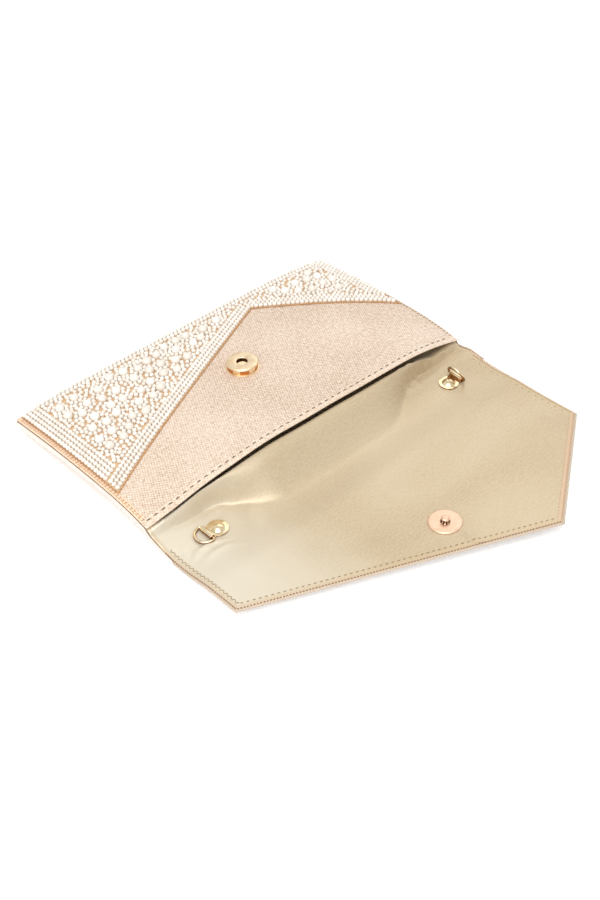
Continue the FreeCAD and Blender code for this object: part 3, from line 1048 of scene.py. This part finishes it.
def unit_pearl(segments, rings):
    """A ball cut off below, where it sits on the cloth."""
    points = [(0, 0, 1)]
    for k in range(1, rings + 1):
        polar = math.radians(BALL_CUT) * k / rings
        for s in range(segments):
            turn = 2 * math.pi * (s + 0.5 * (k % 2)) / segments
            points.append((math.sin(polar) * math.cos(turn), math.sin(polar) * math.sin(turn),
                           math.cos(polar)))
    faces = [(0, 1 + s, 1 + (s + 1) % segments) for s in range(segments)]
    for k in range(rings - 1):
        a, b = 1 + k * segments, 1 + (k + 1) * segments
        odd = (k + 1) % 2
        for s in range(segments):
            n = (s + 1) % segments
            if odd:
                faces += [(a + s, b + n, a + n), (a + s, b + s, b + n)]
            else:
                faces += [(a + s, b + s, a + n), (a + n, b + s, b + n)]
    last = 1 + (rings - 1) * segments
    faces.append(tuple(last + s for s in range(segments - 1, -1, -1)))
    return np.array(points), faces


SMALL_BALL = unit_pearl(10, 5)
LARGE_BALL = unit_pearl(16, 8)


def pearl_piece(name, found, surface, side, body, node):
    """One mesh of all the pearls in found, each standing on the surface: side is 1 above it
    and -1 under it, where pearls are pressed flatter if the floor is near."""
    points, faces, count = [], [], 0
    step = 0.4
    for x, y, r in found:
        z = float(surface(x, y))
        gx = (float(surface(x + step, y)) - float(surface(x - step, y))) / (2 * step)
        gy = (float(surface(x, y + step)) - float(surface(x, y - step))) / (2 * step)
        normal = Vector((-gx, -gy, 1)).normalized() * side
        turn = np.array(normal.to_track_quat("Z", "Y").to_matrix())
        large = r > SMALL_LIMIT
        ball, shape = LARGE_BALL if large else SMALL_BALL
        stand = LARGE_STAND if large else SMALL_STAND
        squeeze = 1.0 if side > 0 else min(1.0, (z - FLOOR_GAP) / (r * (1 + stand)))
        centre = np.array((x, y, z)) + np.array(normal) * r * stand * squeeze
        points.append((ball * (r, r, r * squeeze)) @ turn.T + centre)
        faces += [tuple(i + count for i in face) for face in shape]
        count += len(ball)
    obj = mesh_object(name, np.concatenate(points), faces)
    finish_piece(obj, "pearl", body)
    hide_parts(node)


def pearl_pieces(panel, found, split, *how):
    """The pearls of one panel in two pieces, left and right of x = split."""
    pearl_piece(f"pearls_{panel}_left", [b for b in found if b[0] < split], *how)
    pearl_piece(f"pearls_{panel}_right", [b for b in found if b[0] >= split], *how)


def front_beadwork():
    """Pearls on the front, outside the bare V."""
    def inside(x, y, r):
        reach = r * EDGE_SHARE
        if abs(x) > HALF - BEAD_SIDE - reach or y > DEPTH - 0.2 - reach:
            return False
        to_left, to_right = V_LEFT.depth(x, y), V_RIGHT.depth(x, y)
        gap = to_left if x < V_TIP[0] else to_right
        if abs(x - V_TIP[0]) < 12:
            gap = max(to_left if x < V_TIP[0] + 1 else -9, to_right if x > V_TIP[0] - 1 else -9)
        return gap > CORD_ROOM + reach

    beads = Beads(inside)
    beads.rows(*V_LEFT.moved(1.0), V_LEFT.normal, 3)
    beads.rows(*V_RIGHT.moved(1.0), V_RIGHT.normal, 3)
    edge = HALF - BEAD_SIDE
    beads.rows((-edge, DEPTH), (-edge, V_LEFT_Y), (1, 0), 4)
    beads.rows((edge, DEPTH), (edge, V_RIGHT_Y), (-1, 0), 3)
    beads.rows((-edge, DEPTH - 0.3), (edge, DEPTH - 0.3), (0, -1), 2)
    beads.fill(edge, V_LEFT_Y, DEPTH, random.Random(4))
    pearl_pieces("front", beads.found, 0, front_top, 1, "pouch", "front_bead_field")


def flap_beadwork():
    """Pearls on the outside of the flap, which lies face down."""
    inset = 2.0

    def inside(x, y, r):
        reach = r * EDGE_SHARE
        if abs(x) > HALF - inset - reach or y > FLAP_BEADS_Y:
            return False
        return min(FLAP_LEFT.depth(x, y), FLAP_RIGHT.depth(x, y)) > inset + reach

    beads = Beads(inside)
    beads.rows(*FLAP_LEFT.moved(inset), FLAP_LEFT.normal, 3)
    beads.rows(*FLAP_RIGHT.moved(inset), FLAP_RIGHT.normal, 3)
    edge = HALF - inset
    beads.rows((-edge, LEFT_Y), (-edge, FLAP_BEADS_Y), (1, 0), 3)
    beads.rows((edge, RIGHT_Y), (edge, FLAP_BEADS_Y), (-1, 0), 3)
    beads.fill(edge, TIP[1], FLAP_BEADS_Y, random.Random(9))
    pearl_pieces("flap", beads.found, 10, outer_low, -1, "flap", "flap_bead_field")


def front_netting():
    """The golden netting that the front pearls are sewn to."""
    xs = columns(BEAD_SIDE + 0.2, 1.6)
    x, y = grid_between(xs, v_edge(xs) + CORD_ROOM, DEPTH - 1.2, 50)
    obj = grid_sheet("bead_netting_front", x, y, front_top(x, y) + 0.12)
    thicken(obj, NETTING)
    finish_piece(obj, "bead_ground", "pouch")


def flap_netting():
    """The same under the flap."""
    xs = columns(2.2, 2.4)
    x, y = grid_between(xs, FLAP_BEADS_Y, tip_edge(xs) + 2.5, 50)
    obj = grid_sheet("bead_netting_flap", x, y, outer_low(x, y) - 0.12)
    thicken(obj, NETTING)
    finish_piece(obj, "bead_ground", "flap")


# ---------------------------------------------------------------- cord and stitching
def lengths_along(points):
    """The length of a polyline up to each of its points."""
    return np.concatenate([[0], np.cumsum(np.linalg.norm(np.diff(points, axis=0), axis=1))])


def along(points, step):
    """Evenly spaced points along a polyline, in plan."""
    points = np.asarray(points, float)
    lengths = lengths_along(points)
    count = max(2, int(round(lengths[-1] / step)) + 1)
    at = np.linspace(0, lengths[-1], count)
    return np.stack([np.interp(at, lengths, points[:, i]) for i in range(points.shape[1])], 1)


def side_and_up(line):
    """Unit directions square to a line at each of its points: a level one and one above it."""
    ahead = np.gradient(line, axis=0)
    ahead /= np.linalg.norm(ahead, axis=1, keepdims=True)
    side = np.cross(ahead, (0.0, 0.0, 1.0))
    side /= np.maximum(np.linalg.norm(side, axis=1, keepdims=True), 1e-9)
    return side, np.cross(side, ahead)


def tube(line, radius, sides):
    """Points and faces of a tube along a line of points."""
    side, up = side_and_up(line)
    turns = np.arange(sides) * 2 * math.pi / sides
    radius = np.broadcast_to(radius, (len(line),))
    rings = (line[:, None, :]
             + radius[:, None, None] * (np.cos(turns)[None, :, None] * side[:, None, :]
                                        + np.sin(turns)[None, :, None] * up[:, None, :]))
    faces = []
    for k in range(len(line) - 1):
        for s in range(sides):
            n = (s + 1) % sides
            faces.append((k * sides + s, k * sides + n, (k + 1) * sides + n, (k + 1) * sides + s))
    faces.append(tuple(range(sides - 1, -1, -1)))
    last = (len(line) - 1) * sides
    faces.append(tuple(last + s for s in range(sides)))
    return rings.reshape(-1, 3), faces


def joined(name, parts):
    """One mesh of many (points, faces) parts."""
    points, faces, count = [], [], 0
    for p, f in parts:
        points.append(p)
        faces += [tuple(i + count for i in face) for face in f]
        count += len(p)
    return recalculate_normals(mesh_object(name, np.concatenate(points), faces))


def v_cord():
    """Two-ply gold cord sewn along the edge of the beadwork."""
    edge = HALF - BEAD_SIDE + 0.15
    far = DEPTH - 1.5
    step = 0.35
    lay = 1.9  # length of one full twist
    plan = along([(-edge, far), (-edge, float(v_edge(-edge)) + 0.5), (V_TIP[0], V_TIP[1] + 0.5),
                  (edge, float(v_edge(edge)) + 0.5), (edge, far)], step)
    centre = np.column_stack([plan, front_top(plan[:, 0], plan[:, 1]) + 0.36])
    side, up = side_and_up(centre)
    plies = []
    for ply in range(2):
        turn = np.arange(len(centre)) * step * 2 * math.pi / lay + math.pi * ply
        line = centre + 0.14 * (np.cos(turn)[:, None] * side + np.sin(turn)[:, None] * up)
        plies.append(tube(line, 0.18, 6))
    obj = joined("v_edge_braid", plies)
    finish_piece(obj, "gold_cord", "pouch")
    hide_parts("v_edge_cord")


STITCH_POINTS = 6  # along each thread


def stitches(name, plan, surface, pitch, length, radius, material, body=None, zigzag=0.0,
             lift=0.05):
    """A row of stitches: short threads that come out of the cloth and dive back in."""
    lengths = lengths_along(plan)
    arch = np.sin(np.linspace(0, math.pi, STITCH_POINTS))
    parts = []
    for n in range(int(lengths[-1] / pitch)):
        start = (n + 0.5) * pitch - length / 2
        at = np.linspace(start, start + length, STITCH_POINTS)
        x, y = (np.interp(at, lengths, values) for values in plan.T)
        if zigzag:
            slant = np.array([x[-1] - x[0], y[-1] - y[0]])
            slant /= np.linalg.norm(slant)
            swing = np.linspace(-0.5, 0.5, STITCH_POINTS) * zigzag * (1 if n % 2 else -1)
            x = x - slant[1] * swing
            y = y + slant[0] * swing
        z = surface(x, y) + lift + radius * (1.3 * arch - 0.9)
        parts.append(tube(np.stack([x, y, z], 1), radius * (0.55 + 0.45 * arch), 6))
    return finish_piece(joined(name, parts), material, body)


def mouth_stitching():
    """One row through the hem, its thread coloured near black as painted shade of the stitch holes
    and the groove.
    """
    x = np.linspace(-HALF + 2.5, HALF - 2.5, 120)
    stitches("mouth_stitches", np.stack([x, np.full_like(x, STITCH_Y)], 1), front_top, 4.9, 3.1,
             0.36, "painted_shade_thread", "pouch")


def side_stitching():
    """Two rows down each side of the front."""
    y = np.linspace(4.0, DEPTH - 3, 80)
    for name, sign, material in (("left", -1, "gold_thread"), ("right", 1, "khaki_thread")):
        for k, inside in enumerate((1.75, 2.8)):
            plan = np.stack([np.full_like(y, sign * (HALF - inside)), y], 1)
            stitches(f"side_stitches_{name}_{k + 1}", plan, front_top, 2.4, 1.7, 0.24,
                     material, "pouch")


def flap_stitching():
    """Rows of stitches inside the flap's edge, on the satin. The three numbers of each are its
    pitch, length and radius."""
    def inner(inside):
        """Left corner, tip and right corner of a line that far inside the flap's edge."""
        side = HALF - inside
        left_y = float(tip_edge(-side)) + inside / FLAP_LEFT.normal[1]
        right_y = float(tip_edge(side)) + inside / FLAP_RIGHT.normal[1]
        tip = (TIP[0] + inside * 0.1, TIP[1] + inside * 1.17)
        return (-side, left_y), tip, (side, right_y)

    def down_side(name, end, *how, **more):
        """A row down the flap's side, across the second crease."""
        obj = stitches(name, along([(end[0], -14.0), end], 0.5), lining_face, *how, **more)
        bend_at_second_crease(obj)

    def across(name, start, end, *how, **more):
        stitches(name, along([start, end], 0.5), lining_face, *how, "flap", **more)

    left, tip, right = inner(4.4)
    down_side("flap_stitches_left", left, 1.5, 1.5, 0.24, "khaki_thread", zigzag=1.8)
    down_side("flap_stitches_right", right, 4.8, 1.4, 0.18, "khaki_thread")
    across("flap_stitches_tip_left", left, tip, 3.2, 2.0, 0.28, "khaki_thread")
    across("flap_stitches_tip_right", tip, right, 2.4, 1.1, 0.26, "rose_thread")
    left, tip, right = inner(1.15)
    overcast = (1.7, 1.15, 0.36, "red_thread")
    down_side("flap_overcast_left", left, *overcast, lift=0.12)
    across("flap_overcast_tip_left", left, tip, *overcast, lift=0.12)
    left, tip, right = inner(2.2)
    across("flap_overcast_tip_right", tip, right, 1.7, 1.1, 0.26, "rose_thread")
    down_side("flap_overcast_right", right, 1.7, 1.1, 0.26, "khaki_thread")


# ---------------------------------------------------------------- metalwork
def lathe(name, profile, segments, base, tilt, material, body, node):
    """A turned piece: profile is (radius, height) from the axis at the top to the axis below."""
    points, faces, rings = [], [], []
    for r, h in profile:
        around = segments if r else 1
        rings.append(range(len(points), len(points) + around))
        for s in range(around):
            turn = 2 * math.pi * s / segments
            points.append((r * math.cos(turn), r * math.sin(turn), h))
    for a, b in zip(rings, rings[1:]):
        for s in range(segments):
            n = (s + 1) % segments
            if len(a) == 1:
                faces.append((a[0], b[s], b[n]))
            elif len(b) == 1:
                faces.append((a[s], b[0], a[n]))
            else:
                faces.append((a[s], b[s], b[n], a[n]))
    placed = np.array(points) @ np.array(Matrix.Rotation(tilt, 3, "X")).T + np.array(base)
    obj = mesh_object(name, placed, faces)
    obj.data.set_sharp_from_angle(angle=math.radians(38))
    finish_piece(obj, material, body)
    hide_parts(node)
    return obj


def disc(node):
    """Centre, radius and top of a round CAD piece."""
    low, high = node_box(node)
    return (low[0] + high[0]) / 2, (low[1] + high[1]) / 2, (high[0] - low[0]) / 2, high[2]


def snap_female():
    """The snap's socket half: a thick ring over a thin flange. Its bore's wall is painted dark as
    painted shade, the bore's floor glows faintly as painted light, and amber patches round its side
    are painted reflections.
    """
    cx, cy, r, top = disc("snap_female_case")
    tall = 4.0
    base = (cx, cy, top - tall)
    tilt = math.atan((float(front_top(cx, cy + 5)) - float(front_top(cx, cy - 5))) / 10)
    profile = [
        (0, 1.5), (1.2, 1.5), (1.35, 1.3), (2.6, 1.2), (3.1, 1.25), (3.2, 1.4), (3.25, 3.5),
        (3.35, 3.75), (3.6, 3.95), (3.9, tall), (8.0, tall), (8.6, 3.95), (9.1, 3.72),
        (9.38, 3.35), (r, 2.9), (r, 0.75), (r - 0.12, 0.5), (r - 0.4, 0.4),
        (r - 0.5, 0.2), (r - 0.5, 0.0), (0, 0.0),
    ]
    case = lathe("snap_case", profile, 96, base, tilt, "pale_gold", "pouch",
                 "snap_female_case")
    middle = np.array((cx, cy, top - tall / 2))
    # painted shade: the bore's wall is dark
    paint_round(case, middle, "socket", lambda reach, turn, rise: 3.0 < reach < 3.4 and rise < 1.4)
    # painted light: the bore's floor glows faintly
    paint_round(case, middle, "socket_floor_painted_glow",
                lambda reach, turn, rise: reach < 3.0 and abs(rise) < 1.4)
    # painted reflection: amber patches every 60 degrees round the side wall
    paint_round(case, middle, "amber_painted_reflection", lambda reach, turn, rise: reach > 9.2 and -1.6 < rise < 1.0
                and (turn - 101) % 60 < 33)
    flange = [(0, 0.25), (9.0, 0.25), (9.7, 0.22), (10.0, 0.05), (10.05, -0.2), (9.9, -0.6),
              (0, -0.6)]
    lathe("snap_flange", flange, 96, base, tilt, "pale_gold", "pouch",
          "snap_female_base")


def snap_male():
    """The snap's stud half on the flap's satin."""
    cx, cy, r, _ = disc("snap_male_plate")
    base = (cx, cy, float(lining_top(cx, cy)) - 0.05)
    tilt = -math.atan(FLAP_SLOPE)
    plate = [(0, 0.84), (3.1, 0.84), (3.5, 0.88), (8.2, 0.9), (8.8, 0.84),
             (r - 0.12, 0.62), (r, 0.4), (r - 0.05, 0.15), (r - 0.5, 0.0), (0, 0.0)]
    lathe("snap_plate", plate, 96, base, tilt, "rose_gold", "flap",
          "snap_male_plate")
    stud = [(0, 3.4), (1.2, 3.38), (1.9, 3.2), (2.25, 2.85), (2.35, 2.4), (2.35, 1.6),
            (2.2, 1.3), (2.35, 1.05), (2.8, 0.85), (2.9, 0.7), (0, 0.7)]
    stud = lathe("snap_stud", stud, 72, base, tilt, "rose_gold", "flap",
                 "snap_male_stud")
    # painted reflection and shade: dark patches round the stud's side
    paint_round(stud, np.array(base) + (0, 0, 2.0), "socket", lambda reach, turn, rise:
                reach > 2.1 and rise < 0.7 and (turn - 26) % 40 < 30)


def rivet_head(side):
    """A domed head and its shank."""
    cx, cy, r, top = disc("rivet_" + side)
    seat = SPINE_TOP + 0.7
    rise = top - seat
    ball = (r * r + rise * rise) / (2 * rise)
    rings = [r * k / 8 for k in range(1, 8)]
    dome = [(0, rise)]
    dome += [(ring, rise - ball + math.sqrt(ball * ball - ring * ring)) for ring in rings]
    dome += [(r, 0.12), (r - 0.05, 0.0), (1.2, 0.0), (1.2, -1.6), (0, -1.6)]
    lathe("rivet_head_" + side, dome, 40, (cx, cy, seat), 0.0, "gold_plate",
          "spine", "rivet_" + side)


def rounded_copy(node, name, width, body, material):
    """The CAD piece's shape with its sharp edges rounded."""
    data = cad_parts[node].data.copy()
    bm = bmesh.new()
    bm.from_mesh(data)
    bmesh.ops.remove_doubles(bm, verts=bm.verts, dist=1e-6)
    bmesh.ops.dissolve_limit(bm, angle_limit=0.01, verts=bm.verts, edges=bm.edges)
    bm.to_mesh(data)
    bm.free()
    obj = bpy.data.objects.new(name, data)
    bpy.context.scene.collection.objects.link(obj)
    bevel = obj.modifiers.new("edges", "BEVEL")
    bevel.width = width * MM
    bevel.segments = 3
    bevel.limit_method = "ANGLE"
    bevel.angle_limit = math.radians(40)
    apply_modifiers(obj)
    obj.data.shade_smooth()
    obj.data.set_sharp_from_angle(angle=math.radians(35))
    finish_piece(obj, material, body)
    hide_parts(node)


def keep_nodes():
    """CAD nodes that stay as they are, with their materials."""
    kept = {
        "snap_female_magnet": "magnet",
        "snap_female_washer": "steel",
        "snap_male_washer": "steel",
        "rivet_washer_left": "steel",
        "rivet_washer_right": "steel",
        "d_ring_left": "gold_plate",
        "d_ring_right": "gold_plate",
    }
    for node, material in kept.items():
        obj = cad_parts[node]
        if not obj.material_slots:
            obj.data.materials.append(MATERIALS[material])
        for slot in obj.material_slots:
            slot.material = MATERIALS[material]
        if node.startswith("d_ring"):
            obj.data.shade_smooth()


# ---------------------------------------------------------------- studio
LAMPS = (  # (name, place in metres, size, watts)
    ("overhead", (-0.3, -0.25, 1.15), 0.8, 7.6),
    ("front_left", (-1.0, -0.5, 0.6), 0.7, 3.4),
    ("right", (0.9, 0.5, 0.8), 0.8, 1.6),
)


def add_floor():
    """A pale floor, faintly lit from within so that shadows stay light."""
    size = 4000.0
    floor = mesh_object("floor", [(-size, -size, 0), (size, -size, 0), (size, size, 0),
                                  (-size, size, 0)], [(0, 1, 2, 3)])
    s = Shader("floor", Roughness=0.9, Specular_IOR_Level=0.1, Emission_Strength=0.2)
    s.bsdf.inputs["Base Color"].default_value = (0.97, 0.97, 0.98, 1)
    s.bsdf.inputs["Emission Color"].default_value = (0.9, 0.95, 1, 1)
    floor.data.materials.append(s.material)
    floor.location.z = -0.00005


def studio():
    """Soft light from above and both sides, in a bright room."""
    add_floor()
    world = bpy.data.worlds.new("studio")
    world.use_nodes = True
    background = world.node_tree.nodes["Background"]
    background.inputs["Color"].default_value = (0.96, 0.98, 1, 1)
    background.inputs["Strength"].default_value = 0.8
    bpy.context.scene.world = world
    for name, place, size, power in LAMPS:
        data = bpy.data.lights.new(name, "AREA")
        data.size = size
        data.energy = power
        data.color = (1.0, 0.985, 0.965)
        lamp = bpy.data.objects.new(name, data)
        lamp.location = place
        lamp.rotation_euler = (-Vector(place)).to_track_quat("-Z", "Y").to_euler()
        bpy.context.scene.collection.objects.link(lamp)
    view = bpy.context.scene.view_settings
    view.view_transform = "Standard"
    view.look = "None"


# ---------------------------------------------------------------- assembly
front_cloth()
outer_pouch()
outer_flap()
lining_pouch()
lining_flap()
lining_front()
boards()
front_netting()
flap_netting()
front_beadwork()
flap_beadwork()
v_cord()
mouth_stitching()
side_stitching()
flap_stitching()
snap_female()
snap_male()
for side in ("left", "right"):
    rivet_head(side)
for side in ("left", "right"):
    rounded_copy("d_ring_plate_" + side, "ring_tab_" + side, 0.14, "spine", "gold_plate")
keep_nodes()
studio()
